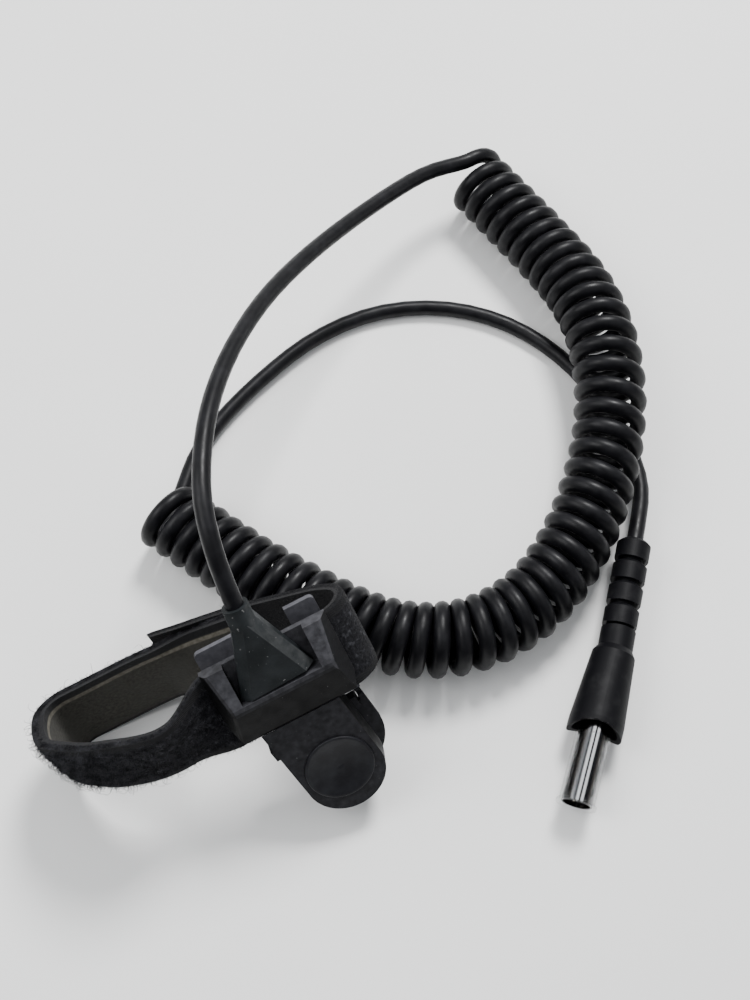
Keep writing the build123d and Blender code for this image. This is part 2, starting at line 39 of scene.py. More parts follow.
# ---- light ----
SKY_LOW = 0.25                 # strength of the sky at the horizon and overhead
SKY_HIGH = 0.95

# ---- how the bracket and the strap lie, as in the CAD ----
BRACKET_AT = Vector((16.5, -2.5, 31.28)) * MM
BRACKET_TURNS = (50.0, -6.5, -0.3)    # about x, then y, then z
BRACKET_X = -0.4 * MM
BRACKET_TURN = 3.0                    # about its own z axis
STRAP_AT = Vector((0.4, 1.5, 0.0)) * MM

# ---- strap, in its own frame: x along it, y across it, z outward ----
STRAP_WIDTH = 20.0 * MM
PILE = 1.9 * MM
LINING = 1.0 * MM
MAIN_LEAN = 5.3 * MM
FAR_SHIFT = 1.2 * MM
CREASE = 1.6 * MM
ROWS = 22                      # faces across each of its layers
FIBRE = 0.04 * MM
TABLE_GAP = 0.2 * MM
TAIL = 1.3 * MM
HOOKS = 0.8 * MM
MAIN_ROUTE = [
    (0.2, -2.35), (-15.0, -2.35), (-30.0, 3.2), (-43.5, -3.6), (-54.5, -14.5), (-51.5, -24.8),
    (-24.0, -24.5), (-3.0, -19.0),
]
MAIN_RADII = [22.0, 18.0, 24.0, 9.0, 6.0, 60.0]
TAIL_ROUTE = [
    (1.0, -2.35), (14.5, -2.35), (21.5, -7.0), (15.5, -13.3), (-4.0, -22.4), (-24.0, -28.8),
]
TAIL_RADII = [8.0, 4.5, 15.0, 40.0]

# ---- cord ----
CORD_DIAMETER = 4.1 * MM
COIL_RADIUS = 7.25 * MM        # of the turns' centre line
POINTS_PER_TURN = 14
PITCHES = [
    (0.0, 6.4), (0.03, 4.7), (0.20, 4.9), (0.34, 6.1), (0.48, 5.3), (0.62, 4.75), (0.75, 4.7), (0.9, 4.6),
    (1.0, 4.5),
]
START_PHASE = -20.0            # the lead joins the first turn just before its top
END_PHASE = 180.0              # and the last turn leaves along the table
LEAD_1_ROUTE = [
    (12.03, 8.18, 49.65),
    (11.4, 14.9, 57.6), (11.7, 21.8, 63.0), (13.4, 31.7, 65.8), (18.8, 44.7, 64.8), (25.8, 57.2, 60.8),
    (35.3, 70.2, 54.6), (47.3, 83.2, 47.0), (61.2, 94.5, 39.2), (76.6, 104.5, 31.8), (93.3, 113.5, 25.0),
    (107.5, 119.9, 19.6),
]
COIL_ROUTE = [
    (121.6, 121.3, 9.3), (125.3, 106.3, 9.3), (128.9, 90.3, 9.6), (131, 74.3, 11.4), (129.2, 59.3, 13.3),
    (124.7, 45.3, 13.3), (117.7, 32.3, 12.4), (107.6, 19.6, 11.8), (96.0, 8.8, 10.2), (82.2, 0.5, 9.3),
    (67.2, -2.3, 9.3), (53.2, 0.7, 9.3), (41.2, 8.8, 9.3), (29.2, 23.8, 9.3), (17.7, 39.8, 9.3),
    (7.4, 58.3, 9.3),
]
LEAD_2_ROUTE = [
    (13.7, 65.3, 2.1), (20.7, 74.3, 2.1), (31.2, 81.8, 2.1), (46.2, 88.8, 2.1), (62.2, 94.3, 2.1),
    (80.2, 95.3, 2.1), (97.2, 89.8, 2.1), (110.7, 79.3, 2.1), (119.7, 64.8, 2.1), (123.8, 49.3, 2.1),
    (124.6, 34.3, 2.1), (121.7, 19.0, 3.8), (114.25, 9.0, 6.6), (110.88, 4.65, 6.6),
]


# ---- plug ----
# the chrome's painted reflection streaks are laid out across this direction
PAINTED_REFLECTION_SIDE = (0.751, -0.66, 0.0)    # level, square to the plug


# ---- small helpers ----
def bracket_direction(x, y, z):
    """A direction given in the bracket's frame, in the world's."""
    return (strap_matrix().to_3x3() @ Vector((x, y, z))).normalized()


def new_object(name, data, body, *nodes, slot=None):
    piece = bpy.data.objects.new(name, data)
    bpy.context.scene.collection.objects.link(piece)
    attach(piece, body)
    if nodes:
        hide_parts(*nodes)
    return piece


def strap_matrix():
    lean, roll, yaw = (math.radians(a) for a in BRACKET_TURNS)
    turn = Matrix.Rotation(yaw, 4, "Z") @ Matrix.Rotation(roll, 4, "Y") @ Matrix.Rotation(lean, 4, "X")
    turn = turn @ Matrix.Translation((BRACKET_X, 0, 0)) @ Matrix.Rotation(math.radians(BRACKET_TURN), 4, "Z")
    return Matrix.Translation(BRACKET_AT) @ turn @ Matrix.Translation(STRAP_AT)


# ---- materials ----
class Material:
    """A principled material with a few shortcuts for its nodes."""

    def __init__(self, name, colour, roughness, **sockets):
        self.material = bpy.data.materials.new(name)
        self.material.use_nodes = True
        self.tree = self.material.node_tree
        self.shader = self.tree.nodes["Principled BSDF"]
        self.shader.inputs["Base Color"].default_value = (*colour, 1)
        self.shader.inputs["Roughness"].default_value = roughness
        for socket, value in sockets.items():
            self.shader.inputs[socket.replace("_", " ")].default_value = value

    def node(self, kind, **settings):
        made = self.tree.nodes.new(kind)
        for key, value in settings.items():
            setattr(made, key, value)
        return made

    def link(self, a, b):
        self.tree.links.new(a, b)

    def coordinates(self, uv=False, scale=(1, 1, 1)):
        place = self.node("ShaderNodeTexCoord")
        mapping = self.node("ShaderNodeMapping")
        mapping.inputs["Scale"].default_value = scale
        self.link(place.outputs["UV" if uv else "Object"], mapping.inputs["Vector"])
        return mapping.outputs["Vector"]

    def noise(self, scale, detail=3.0, uv=False, stretch=(1, 1, 1)):
        texture = self.node("ShaderNodeTexNoise")
        texture.inputs["Scale"].default_value = scale
        texture.inputs["Detail"].default_value = detail
        self.link(self.coordinates(uv, stretch), texture.inputs["Vector"])
        return texture.outputs["Fac"]

    def ramp(self, value, *stops):
        ramp = self.node("ShaderNodeValToRGB")
        elements = ramp.color_ramp.elements
        while len(elements) < len(stops):
            elements.new(0.5)
        for element, (position, colour) in zip(elements, stops):
            element.position = position
            element.color = (*colour, 1) if hasattr(colour, "__len__") else (colour, colour, colour, 1)
        self.link(value, ramp.inputs["Fac"])
        return ramp.outputs["Color"]

    def mix(self, factor, a, b):
        mixer = self.node("ShaderNodeMix", data_type="RGBA")
        self.feed(mixer.inputs["Factor"], factor)
        self.feed(mixer.inputs["A"], a)
        self.feed(mixer.inputs["B"], b)
        return mixer.outputs["Result"]

    def math(self, operation, a, b=0.0):
        made = self.node("ShaderNodeMath", operation=operation)
        self.feed(made.inputs[0], a)
        self.feed(made.inputs[1], b)
        return made.outputs[0]

    def feed(self, socket, value):
        if isinstance(value, bpy.types.NodeSocket):
            self.link(value, socket)
        elif hasattr(value, "__len__"):
            socket.default_value = (*value, 1)
        else:
            socket.default_value = value

    def facing(self, direction, low, high):
        """How far the surface faces this way, from 0 at low to 1 at high."""
        geometry = self.node("ShaderNodeNewGeometry")
        dot = self.node("ShaderNodeVectorMath", operation="DOT_PRODUCT")
        self.link(geometry.outputs["Normal"], dot.inputs[0])
        dot.inputs[1].default_value = direction
        share = self.node("ShaderNodeMapRange")
        share.inputs["From Min"].default_value = low
        share.inputs["From Max"].default_value = high
        self.link(dot.outputs["Value"], share.inputs["Value"])
        return share.outputs["Result"]

    def colour(self, value):
        self.link(value, self.shader.inputs["Base Color"])

    def roughness(self, value):
        self.link(value, self.shader.inputs["Roughness"])

    def bump(self, height, strength, distance):
        made = self.node("ShaderNodeBump")
        made.inputs["Strength"].default_value = strength
        made.inputs["Distance"].default_value = distance
        self.link(height, made.inputs["Height"])
        self.link(made.outputs["Normal"], self.shader.inputs["Normal"])


def black_plastic(name="black_plastic", dark=0.0022, dusty_and_lit=0.034):
    """Dull moulded plastic: fine grain, a few specks, and upward faces paler in patches: a powdery film and painted
    top light.
    """
    m = Material(name, (dark, dark, dark), 0.5, Specular_IOR_Level=0.09)
    # upward faces paled in patches: partly a powdery film, partly painted light from above
    faces_up = m.facing((0.0, 0.0, 1.0), 0.42, 0.7)
    dust_and_top_light = m.math("MULTIPLY", faces_up, m.ramp(m.noise(650, 6), (0.30, 0.35), (0.78, 1.0)))
    speck = m.ramp(m.noise(1500, 2), (0.73, 0.0), (0.78, 1.0))
    cloudy = m.mix(dust_and_top_light, (dark, dark, dark * 1.2), (dusty_and_lit, dusty_and_lit, dusty_and_lit * 1.12))
    m.colour(m.mix(speck, cloudy, (0.08, 0.08, 0.08)))
    m.roughness(m.ramp(m.noise(320, 3), (0.3, 0.40), (0.7, 0.60)))
    m.bump(m.noise(2600, 3), 0.35, 0.00008)
    return m.material


def boot_rubber():
    """The boot's rubber: a little greyer than the bracket, with a painted highlight in patches on its right-hand
    bevel.
    """
    m = Material("boot_rubber", (0.012, 0.014, 0.016), 0.55, Specular_IOR_Level=0.15)
    rubbed = m.ramp(m.noise(160, 6), (0.40, 0.0), (0.72, 1.0))
    speck = m.ramp(m.noise(1300, 2), (0.70, 0.0), (0.76, 1.0))
    body = m.mix(rubbed, (0.007, 0.009, 0.010), (0.018, 0.021, 0.023))
    # painted highlight: faces turned towards the right-hand bevel's side are paled in patches
    wear_and_highlight = m.math("MULTIPLY", m.facing(bracket_direction(0.72, 0.25, 0.65), 0.86, 0.97),
                  m.ramp(m.noise(500, 5), (0.35, 0.25), (0.65, 1.0)))
    m.colour(m.mix(speck, m.mix(wear_and_highlight, body, (0.036, 0.038, 0.039)), (0.12, 0.12, 0.12)))
    m.roughness(m.ramp(m.noise(260, 3), (0.3, 0.45), (0.7, 0.65)))
    m.bump(m.noise(1900, 4), 0.4, 0.0001)
    return m.material


def plug_rubber():
    m = Material("plug_rubber", (0.004, 0.004, 0.005), 0.5, Specular_IOR_Level=0.11)
    wear_and_highlight = m.ramp(m.noise(300, 5), (0.5, 0.0), (0.85, 1.0))
    m.colour(m.mix(wear_and_highlight, (0.003, 0.003, 0.004), (0.012, 0.012, 0.013)))
    m.bump(m.noise(2400, 3), 0.3, 0.00008)
    return m.material


def cord_jacket():
    m = Material("cord_jacket", (0.004, 0.004, 0.005), 0.42, Specular_IOR_Level=0.18)
    wear_and_highlight = m.ramp(m.noise(260, 4), (0.45, 0.0), (0.8, 1.0))
    m.colour(m.mix(wear_and_highlight, (0.003, 0.003, 0.004), (0.010, 0.010, 0.012)))
    m.roughness(m.ramp(m.noise(500, 3), (0.3, 0.34), (0.7, 0.50)))
    m.bump(m.noise(1800, 2), 0.12, 0.00006)
    return m.material


def pad_rubber():
    m = Material("pad_rubber", (0.010, 0.010, 0.012), 0.42, Specular_IOR_Level=0.22)
    wear_and_highlight = m.ramp(m.noise(240, 5), (0.4, 0.0), (0.8, 1.0))
    m.colour(m.mix(wear_and_highlight, (0.006, 0.006, 0.008), (0.017, 0.018, 0.021)))
    m.bump(m.noise(2200, 3), 0.25, 0.00008)
    return m.material


def pile_cloth():
    """Loop pile: a tangle of tiny loops, with a smooth selvage along both edges."""
    m = Material("pile_cloth", (0.008, 0.008, 0.009), 0.95, Specular_IOR_Level=0.1, Sheen_Weight=0.05)
    tangle = m.noise(1500, 6)
    lint = m.ramp(m.noise(700, 6), (0.57, 0.0), (0.72, 1.0))
    loops = m.mix(m.ramp(tangle, (0.35, 0.0), (0.7, 1.0)), (0.003, 0.003, 0.004), (0.014, 0.014, 0.017))
    pile = m.mix(lint, loops, (0.045, 0.046, 0.052))
    across = m.node("ShaderNodeSeparateXYZ")
    m.link(m.coordinates(uv=True), across.inputs["Vector"])
    selvage = m.ramp(
        across.outputs["Y"], (0.0, 1.0), (0.085, 1.0), (0.105, 0.0), (0.895, 0.0), (0.915, 1.0), (1.0, 1.0))
    rib = m.node("ShaderNodeTexWave", wave_type="BANDS", bands_direction="X")
    rib.inputs["Scale"].default_value = 26
    m.link(m.coordinates(uv=True), rib.inputs["Vector"])
    m.colour(m.mix(selvage, pile, m.mix(rib.outputs["Fac"], (0.004, 0.004, 0.005), (0.010, 0.010, 0.012))))
    m.bump(m.mix(selvage, tangle, rib.outputs["Fac"]), 0.8, 0.0004)
    return m.material


def lining_cloth():
    """Knit lining, brownish grey, with a pale line near its upper edge and a dark ribbed rim beyond it."""
    m = Material("lining_cloth", (0.03, 0.028, 0.024), 0.85, Specular_IOR_Level=0.15, Sheen_Weight=0.08)
    across = m.node("ShaderNodeSeparateXYZ")
    m.link(m.coordinates(uv=True), across.inputs["Vector"])
    height = across.outputs["Y"]
    stripe = m.ramp(height, (0.0, 0.0), (0.835, 0.0), (0.85, 1.0), (0.89, 1.0), (0.905, 0.0), (1.0, 0.0))
    rim = m.ramp(height, (0.0, 1.0), (0.03, 1.0), (0.05, 0.0), (0.90, 0.0), (0.915, 1.0), (1.0, 1.0))
    grain = m.noise(1400, 5)
    cloth = m.mix(m.ramp(grain, (0.3, 0.0), (0.75, 1.0)), (0.020, 0.019, 0.015), (0.050, 0.047, 0.040))
    wear_and_highlight = m.mix(m.ramp(m.noise(90, 4), (0.4, 0.0), (0.7, 1.0)), cloth, (0.040, 0.039, 0.034))
    soiled = m.ramp(m.noise(900, 3), (0.3, 0.0), (0.7, 1.0))
    stripe_colour = m.mix(soiled, (0.085, 0.078, 0.062), (0.16, 0.148, 0.120))
    m.colour(m.mix(rim, m.mix(stripe, wear_and_highlight, stripe_colour), (0.007, 0.007, 0.008)))
    m.bump(grain, 0.5, 0.00025)
    return m.material


def hook_cloth():
    m = Material("hook_cloth", (0.009, 0.009, 0.010), 0.6, Specular_IOR_Level=0.2)
    m.bump(m.noise(2500, 2), 0.8, 0.0004)
    return m.material


def fibre():
    m = Material("fibre", (0.012, 0.012, 0.014), 0.8, Specular_IOR_Level=0.15)
    m.colour(m.ramp(m.noise(420, 5), (0.42, (0.005, 0.005, 0.007)), (0.68, (0.050, 0.051, 0.058))))
    return m.material


def chrome_with_painted_reflections():
    """Bright plating; painted reflections of a cluttered room run as streaks along the round shell."""
    m = Material("bright_shell_painted_reflections", (0.62, 0.62, 0.64), 0.09, Metallic=1.0)
    across = m.facing(PAINTED_REFLECTION_SIDE, -1.0, 1.0)
    black = (0.01, 0.01, 0.012)
    brown = (0.10, 0.09, 0.08)
    grey = (0.30, 0.30, 0.31)
    white = (0.95, 0.95, 0.95)
    # painted reflection: dark, brown, grey and white bands by how far each face turns to the side
    m.colour(m.ramp(
        across, (0.0, grey), (0.05, black), (0.14, black), (0.20, brown), (0.33, grey), (0.38, black),
        (0.43, white), (0.47, white), (0.50, black), (0.54, black), (0.57, white), (0.63, white), (0.66, black),
        (0.74, black), (0.80, brown), (0.90, black), (1.0, grey)))
    m.roughness(m.ramp(m.noise(60, 2), (0.3, 0.06), (0.7, 0.13)))
    return m.material


def dark_steel():
    return Material("dark_steel", (0.02, 0.02, 0.02), 0.45, Metallic=1.0).material


def plain_metal():
    return Material("plain_metal", (0.55, 0.55, 0.56), 0.3, Metallic=1.0).material


def pin_metal():
    return Material("pin_metal", (0.85, 0.80, 0.68), 0.15, Metallic=1.0).material


def clear_plastic():
    m = Material("clear_plastic", (0.93, 0.95, 0.96), 0.04, Transmission_Weight=1.0, IOR=1.3, Alpha=0.24)
    return m.material


def board_green():
    return Material("board_green", (0.02, 0.12, 0.05), 0.4).material


def resistor_tan():
    return Material("resistor_tan", (0.5, 0.36, 0.22), 0.35).material


def copper():
    return Material("copper", (0.8, 0.42, 0.25), 0.25, Metallic=1.0).material


def floor_white():
    m = Material("floor_white", (0.72, 0.72, 0.725), 0.6)
    m.colour(m.mix(m.ramp(m.noise(9, 4), (0.35, 0.0), (0.7, 1.0)), (0.81, 0.81, 0.80), (0.85, 0.85, 0.84)))
    return m.material


# ---- camera, light and floor ----
def view_direction():
    elevation = math.radians(CAMERA_ELEVATION)
    heading = math.radians(CAMERA_HEADING)
    level = Vector((math.sin(heading), math.cos(heading), 0.0)) * math.cos(elevation)
    return level - Vector((0, 0, math.sin(elevation)))


def make_camera():
    ahead = view_direction()
    camera = bpy.data.objects.new("camera", bpy.data.cameras.new("camera"))
    camera.data.lens = LENS
    camera.data.clip_start = 0.01
    camera.location = LOOK_AT - ahead * CAMERA_DISTANCE
    camera.rotation_euler = ahead.to_track_quat("-Z", "Y").to_euler()
    bpy.context.scene.collection.objects.link(camera)
    bpy.context.scene.camera = camera


def area_light(name, place, target, size, power):
    light = bpy.data.lights.new(name, "AREA")
    light.shape = "DISK"
    light.size = size
    light.energy = power
    lamp = bpy.data.objects.new(name, light)
    lamp.location = place
    lamp.rotation_euler = (Vector(target) - Vector(place)).to_track_quat("-Z", "Y").to_euler()
    bpy.context.scene.collection.objects.link(lamp)


def make_light():
    area_light("key", (0.55, 0.55, 0.95), (0.05, 0.04, 0.0), 0.38, 20.0)
    area_light("fill", (-0.55, 0.35, 0.75), (0.03, 0.06, 0.0), 0.7, 6.5)
    world = bpy.data.worlds.new("world")
    world.use_nodes = True
    tree = world.node_tree
    place = tree.nodes.new("ShaderNodeTexCoord")
    split = tree.nodes.new("ShaderNodeSeparateXYZ")
    height = tree.nodes.new("ShaderNodeMapRange")
    height.inputs["From Min"].default_value = 0.0
    height.inputs["From Max"].default_value = 0.9
    height.inputs["To Min"].default_value = SKY_LOW
    height.inputs["To Max"].default_value = SKY_HIGH
    tree.links.new(place.outputs["Generated"], split.inputs["Vector"])
    tree.links.new(split.outputs["Z"], height.inputs["Value"])
    tree.links.new(height.outputs["Result"], tree.nodes["Background"].inputs["Strength"])
    tree.nodes["Background"].inputs["Color"].default_value = (0.95, 0.97, 1.0, 1)
    bpy.context.scene.world = world


def make_floor():
    size = 3.0
    mesh = bpy.data.meshes.new("floor")
    corners = [(-size, -size, 0), (size, -size, 0), (size, size, 0), (-size, size, 0)]
    mesh.from_pydata(corners, [], [(0, 1, 2, 3)])
    floor = bpy.data.objects.new("floor", mesh)
    bpy.context.scene.collection.objects.link(floor)
    mesh.materials.append(floor_white())


def dark_card(name, centre, facing, width, height):
    """A matt black card out of the picture, seen only in reflections."""
    mesh = bpy.data.meshes.new(name)
    x, y = width / 2, height / 2
    mesh.from_pydata([(-x, -y, 0), (x, -y, 0), (x, y, 0), (-x, y, 0)], [], [(0, 1, 2, 3)])
    mesh.materials.append(Material("card_black", (0.01, 0.01, 0.01), 0.9, Specular_IOR_Level=0.0).material)
    card = bpy.data.objects.new(name, mesh)
    card.location = centre
    card.rotation_euler = facing.to_track_quat("Z", "Y").to_euler()
    card.visible_camera = False
    card.visible_shadow = False
    card.visible_diffuse = False
    bpy.context.scene.collection.objects.link(card)


def make_cards():
    """What stood round the table: someone leaning over it, and the dark side of the room."""
    ahead = view_direction()
    camera = LOOK_AT - ahead * (CAMERA_DISTANCE + 0.04)
    dark_card("card_over", camera, ahead, 0.16, 0.22)
    level = Vector((ahead.x, ahead.y, 0)).normalized()
    dark_card("card_near", LOOK_AT - level * 0.6 + Vector((0, 0, 0.3)), level, 1.2, 0.55)


# ---- cord ----
def nurbs_curve(name, points):
    """A curve of one open NURBS spline with these control points."""
    curve = bpy.data.curves.new(name, "CURVE")
    curve.dimensions = "3D"
    spline = curve.splines.new("NURBS")
    spline.points.add(len(points) - 1)
    for control, point in zip(spline.points, points):
        control.co = (*point, 1.0)
    spline.order_u = 3
    spline.use_endpoint_u = True
    return curve


def read_line(points, resolution=24):
    """Points along the NURBS spline with these control points."""
    curve = nurbs_curve("measure", points)
    curve.resolution_u = resolution
    holder = bpy.data.objects.new("measure", curve)
    bpy.context.scene.collection.objects.link(holder)
    bpy.context.view_layer.update()
    mesh = bpy.data.meshes.new_from_object(holder.evaluated_get(bpy.context.evaluated_depsgraph_get()))
    line = [v.co.copy() for v in mesh.vertices]
    bpy.data.objects.remove(holder)
    bpy.data.meshes.remove(mesh)
    bpy.data.curves.remove(curve)
    return line


def pitch_at(share):
    for (start, low), (end, high) in zip(PITCHES, PITCHES[1:]):
        if share <= end:
            return (low + (high - low) * (share - start) / (end - start)) * MM
    return PITCHES[-1][1] * MM


def helix_points():
    """The coil's turns round the line of its route, left-handed, a little uneven."""
    line = read_line([Vector(p) * MM for p in COIL_ROUTE])
    lengths = [0.0]
    for a, b in zip(line, line[1:]):
        lengths.append(lengths[-1] + (b - a).length)
    total = lengths[-1]
    step = total / 4000
    turns, share, table = 0.0, 0.0, []
    while share <= 1.0:
        table.append(turns)
        turns += step / pitch_at(share)
        share += step / total
    wanted = round(turns - (END_PHASE - START_PHASE) / 360.0) + (END_PHASE - START_PHASE) / 360.0
    stretch = wanted / table[-1]
    count = int(wanted * POINTS_PER_TURN) + 1
    control_radius = COIL_RADIUS / (0.75 + 0.25 * math.cos(2 * math.pi / POINTS_PER_TURN))
    points, at, row = [], 0, 0
    for k in range(count + 1):
        turn = wanted * k / count
        while at < len(table) - 1 and table[at] * stretch < turn:
            at += 1
        along = total * at / (len(table) - 1)
        while row < len(lengths) - 2 and lengths[row + 1] < along:
            row += 1
        part = (along - lengths[row]) / max(lengths[row + 1] - lengths[row], 1e-9)
        centre = line[row].lerp(line[row + 1], part)
        tangent = (line[row + 1] - line[row]).normalized()
        side = Vector((0, 0, 1)).cross(tangent).normalized()
        up = tangent.cross(side)
        phase = math.radians(START_PHASE) + turn * 2 * math.pi
        uneven = noise.noise(Vector((turn * 0.9, 3.1, 0.0)))
        wander = noise.noise(Vector((turn * 0.55, 9.7, 0.0)))
        radius = control_radius + 0.12 * MM * (uneven - 0.4)
        shift = tangent * (0.5 * MM * wander * math.sin(phase + 1.3))
        points.append(centre + radius * (math.cos(phase) * up + math.sin(phase) * side) + shift)
    return points


def make_cord(jacket):
    lead_1 = [Vector(p) * MM for p in LEAD_1_ROUTE]
    lead_2 = [Vector(p) * MM for p in LEAD_2_ROUTE]
    points = lead_1 + helix_points() + lead_2
    curve = nurbs_curve("cord", points)
    curve.resolution_u = 3
    curve.bevel_depth = CORD_DIAMETER / 2
    curve.bevel_resolution = 4
    curve.use_fill_caps = True
    curve.materials.append(jacket)
    cord = new_object("cord", curve, "body", "lead_1", "coil", "lead_2", slot="cord")
    line = read_line(points, 3)


# ---- strap ----
def rounded(route, radii):
    """Points along a route in x and z whose corners are arcs of these radii."""
    corners = [Vector((x, z)) * MM for x, z in route]
    line = [corners[0]]
    for before, corner, after, radius in zip(corners, corners[1:], corners[2:], radii):
        arriving = (corner - before).normalized()
        leaving = (after - corner).normalized()
        turn = arriving.angle_signed(leaving)
        reach = radius * MM * math.tan(abs(turn) / 2)
        centre = corner - arriving * reach
        sign = -1 if turn > 0 else 1
        normal = Vector((-arriving.y, arriving.x)) * sign
        middle = centre + normal * radius * MM
        count = max(4, int(abs(turn) / math.radians(6)))
        for k in range(count + 1):
            angle = sign * abs(turn) * k / count
            spoke = Matrix.Rotation(angle, 2) @ (-normal * radius * MM)
            line.append(middle + spoke)
    line.append(corners[-1])
    return resample(line, 0.8 * MM)


def resample(line, step):
    """Evenly spaced points along a line."""
    out, left = [line[0].copy()], step
    for a, b in zip(line, line[1:]):
        run = (b - a).length
        done = 0.0
        while run - done >= left:
            done += left
            out.append(a.lerp(b, done / run))
            left = step
        left -= run - done
    out.append(line[-1].copy())
    return out


def band(name, line, low, high, bend, outward, crown=0.0, fray=0.0):
    """A layer of the strap from low to high outward of its line; bend moves each of its points."""
    frame_of = strap_matrix()
    half = STRAP_WIDTH / 2
    vertices, faces, across, along = [], [], [], []
    distance = 0.0
    rng = random.Random(7)
    for i, point in enumerate(line):
        ahead = line[min(i + 1, len(line) - 1)] - line[max(i - 1, 0)]
        ahead.normalize()
        normal = Vector((ahead.y, -ahead.x)) * outward
        if i:
            distance += (point - line[i - 1]).length
        for side, level in ((0, high), (1, low)):
            for j in range(ROWS + 1):
                share = j / ROWS if side == 0 else 1 - j / ROWS
                y = (share - 0.5) * 2 * half
                edge = min(share, 1 - share) * 2
                lift = crown * (1 - (1 - min(edge * 4, 1)) ** 2) if side == 0 else 0.0
                off = level + lift
                spot = Vector((point.x + normal.x * off, y, point.y + normal.y * off))
                spot = bend(spot, distance, share)
                if fray and i == len(line) - 1:
                    spot.x -= fray * rng.random()
                placed = frame_of @ spot
                placed.z = max(placed.z, TABLE_GAP)
                vertices.append(placed)
                across.append(share)
                along.append(distance)
    ring_size = 2 * (ROWS + 1)
    for i in range(len(line) - 1):
        for j in range(ring_size):
            a = i * ring_size + j
            b = i * ring_size + (j + 1) % ring_size
            faces.append((a, b, b + ring_size, a + ring_size))
    faces.append(tuple(reversed(range(ring_size))))
    last = (len(line) - 1) * ring_size
    faces.append(tuple(range(last, last + ring_size)))
    mesh = bpy.data.meshes.new(name)
    mesh.from_pydata(vertices, [], faces)
    uv = mesh.uv_layers.new(name="UVMap")
    for loop in mesh.loops:
        uv.data[loop.index].uv = (along[loop.vertex_index] / STRAP_WIDTH, across[loop.vertex_index])
    mesh.update()
    return mesh



def eased(value):
    value = min(max(value, 0.0), 1.0)
    return value * value * (3 - 2 * value)


def leaned(spot, share, free, far):
    """A strap point moved as the band leans: its upper edge outward, its far side back and up."""
    x, y, z = spot
    y = y * (1 - 0.04 * free) + FAR_SHIFT * far * free
    z += MAIN_LEAN * (2 * share - 1) * free * (1 - 0.15 * far) - FAR_SHIFT * far * free
    return x, y, z


def main_bend(spot, distance, share):
    """Left of the bracket the band leans out at its upper edge and is creased a little way along."""
    free = eased((-spot.x - 14 * MM) / (12 * MM))
    far = eased((-spot.z - 14 * MM) / (8 * MM))
    x, y, z = leaned(spot, share, free, far)
    crease = math.exp(-((spot.x + 27 * MM) / (7 * MM)) ** 2) * (1 - far)
    y -= CREASE * crease * share
    wave = noise.noise(Vector((x * 60, y * 40, z * 60)))
    return Vector((x, y, z + 0.35 * MM * wave * free))


def tail_bend(spot, distance, share):
    """The tail follows the lean of the band it is pressed on, and lifts a little at its end."""
    free = eased((-spot.x - 4 * MM) / (14 * MM))
    x, y, z = leaned(spot, share, free, 1.0)
    right = eased((x - 15 * MM) / (5 * MM))
    wave = noise.noise(Vector((x * 70, y * 50, z * 70)))
    return Vector((x, y + 1.0 * MM * free, z + 0.35 * MM * wave * max(free, right)))


def smooth(mesh):
    mesh.shade_smooth()
    mesh.set_sharp_from_angle(angle=math.radians(45))


def make_fibres(name, mesh, count, longest, node, material, rng, keep, on_edges=False):
    """Short curled fibres standing out of the band's outer side, or of its edges, where keep allows."""
    curve = bpy.data.curves.new(name, "CURVE")
    curve.dimensions = "3D"
    curve.bevel_depth = FIBRE
    curve.bevel_resolution = 0
    curve.resolution_u = 2
    ring_size = 2 * (ROWS + 1)
    bands = (len(mesh.polygons) - 2) // ring_size
    for _ in range(count):
        i, j = rng.randrange(bands), rng.randrange(ROWS)
        if not keep(i / bands, j / ROWS, rng):
            continue
        if on_edges:
            j = rng.choice((ROWS, ring_size - 1))
        face = mesh.polygons[i * ring_size + j]
        corners = [mesh.vertices[v].co for v in face.vertices]
        near = corners[0].lerp(corners[1], rng.random())
        far = corners[3].lerp(corners[2], rng.random())
        base = near.lerp(far, rng.random())
        length = longest * (0.25 + 0.75 * rng.random() ** 3)
        side = Vector([rng.uniform(-1, 1) for _ in range(3)])
        side = (side - face.normal * side.dot(face.normal)).normalized()
        curl = face.normal.cross(side) * rng.uniform(-0.5, 0.5)
        spline = curve.splines.new("POLY")
        spline.points.add(3)
        for k, point in enumerate(spline.points):
            t = k / 3
            out = face.normal * (math.sin(t * 2.2) * 0.8 * length - 0.05 * MM)
            away = (side + curl * t) * (t * t * 0.9 * length)
            place = base + out + away
            place.z = max(place.z, TABLE_GAP / 2)
            point.co = (*place, 1)
            point.radius = 1.1 - 0.7 * t
    curve.materials.append(material)
    return new_object(name, curve, "body", node, slot="pile")


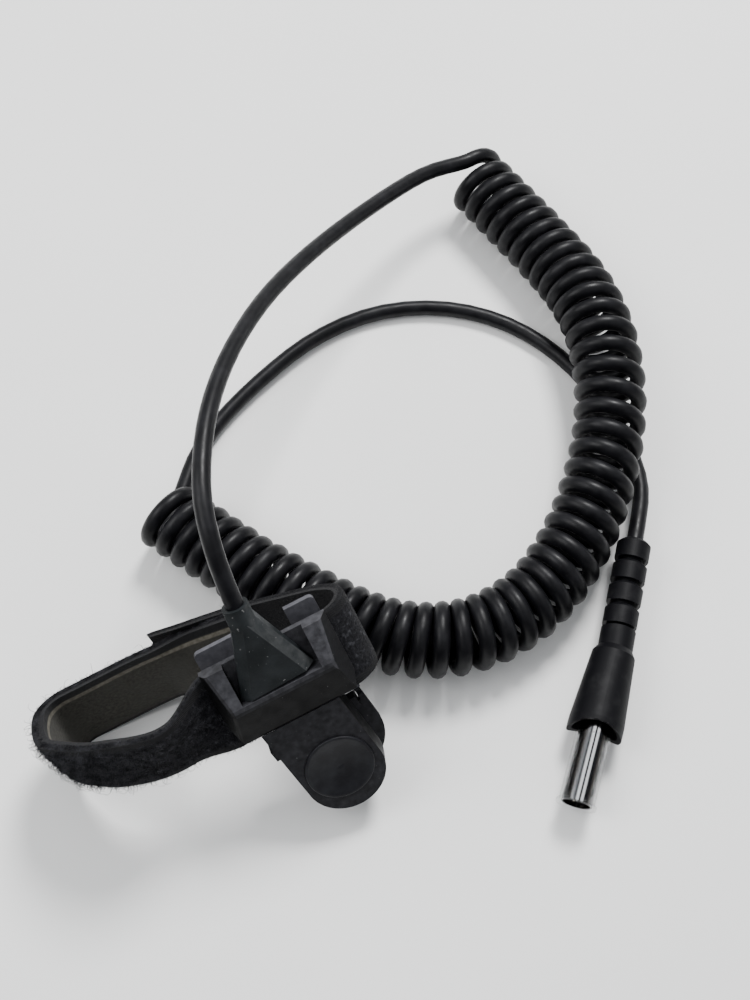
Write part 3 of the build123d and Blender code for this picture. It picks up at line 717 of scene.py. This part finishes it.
def make_strap(pile, lining, hooks):
    made = {}
    layers = [
        ("strap_pile", MAIN_ROUTE, MAIN_RADII, 0.0, PILE, main_bend, 0.25 * MM, 0.0, "strap_main", "pile", pile),
        ("strap_inner_cloth", MAIN_ROUTE, MAIN_RADII, -LINING, 0.0, main_bend, 0.0, 0.0, "strap_lining", "lining", lining),
        ("strap_tail_pile", TAIL_ROUTE, TAIL_RADII, 0.0, TAIL, tail_bend, 0.2 * MM, 1.2 * MM, "strap_tail", "pile", pile),
        ("strap_tail_hooks", TAIL_ROUTE, TAIL_RADII, -HOOKS, 0.0, tail_bend, 0.0, 0.0, "tail_hooks", "hooks", hooks),
    ]
    for name, route, radii, low, high, bend, crown, fray, node, slot, material in layers:
        line = rounded(route, radii)
        mesh = band(name, line, low, high, bend, -1 if route is TAIL_ROUTE else 1, crown, fray)
        mesh.materials.append(material)
        smooth(mesh)
        new_object(name, mesh, "body", node, slot=slot)
        made[name] = mesh
    rng = random.Random(11)
    fuzz = fibre()
    make_fibres("pile_loops", made["strap_pile"], 30000, 0.8 * MM, "strap_main", fuzz, rng, off_selvage)
    make_fibres("pile_wisps", made["strap_pile"], 9000, 2.6 * MM, "strap_main", fuzz, rng, worn_end)
    make_fibres("edge_loops", made["strap_pile"], 9000, 0.8 * MM, "strap_main", fuzz, rng, anywhere, True)
    make_fibres("tail_edge_loops", made["strap_tail_pile"], 4000, 0.8 * MM, "strap_tail", fuzz, rng, anywhere, True)
    make_fibres("tail_loops", made["strap_tail_pile"], 12000, 0.9 * MM, "strap_tail", fuzz, rng, off_selvage)
    make_fibres("tail_wisps", made["strap_tail_pile"], 900, 1.8 * MM, "strap_tail", fuzz, rng, anywhere)


def off_selvage(along, across, rng):
    return 0.08 < across < 0.9


def worn_end(along, across, rng):
    """Most of the long wisps are round the left end of the loop."""
    return rng.random() < math.exp(-((along - 0.42) / 0.13) ** 2) + 0.05


def anywhere(along, across, rng):
    return True


# ---- finishes of the CAD pieces that stay ----
def finish_nodes():
    plastic, boot, plug, pad = black_plastic(), boot_rubber(), plug_rubber(), pad_rubber()
    # The rear plate takes a paler copy of the black plastic, painted light on its lit tabs; the frame's copy pales
    # its upward faces, partly a painted ridge highlight.
    dusty_and_lit = black_plastic("dusty_lit_plastic", 0.03, 0.10)
    metal, steel, clear = plain_metal(), dark_steel(), clear_plastic()
    finishes = {
        "rear_plate": dusty_and_lit, "front_frame": black_plastic("frame_plastic", 0.0018, 0.065), "cord_boot": boot, "boot_cuff": boot,
        "paddle_front": plastic, "paddle_back": plastic, "rear_clip": plastic, "press_pad": pad,
        "strap_rivets": metal, "skin_contact": metal, "contact_studs": metal,
        "paddle_screws": metal, "neck_pin": metal, "hinge_pin": steel, "clip_spring": steel, "dome_contact": metal,
        "safety_resistors": resistor_tan(), "boot_wires": copper(), "switch_board": board_green(),
        "strain_relief": plug, "plug_body": plug, "plug_premould": plastic, "plug_insert": plastic,
        "plug_shell": chrome_with_painted_reflections(), "plug_pins": pin_metal(), "clear_sleeve": clear,
    }
    for name, material in finishes.items():
        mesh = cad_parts[name].data
        mesh.materials.clear()
        mesh.materials.append(material)


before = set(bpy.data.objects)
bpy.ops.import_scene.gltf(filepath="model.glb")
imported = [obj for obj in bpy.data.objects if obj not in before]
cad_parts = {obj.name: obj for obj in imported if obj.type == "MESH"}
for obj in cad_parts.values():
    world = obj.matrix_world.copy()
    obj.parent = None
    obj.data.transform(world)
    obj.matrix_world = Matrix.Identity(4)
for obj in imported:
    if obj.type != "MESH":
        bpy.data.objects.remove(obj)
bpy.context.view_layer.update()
make_camera()
make_cord(cord_jacket())
make_light()
make_floor()
make_cards()
make_strap(pile_cloth(), lining_cloth(), hook_cloth())
finish_nodes()
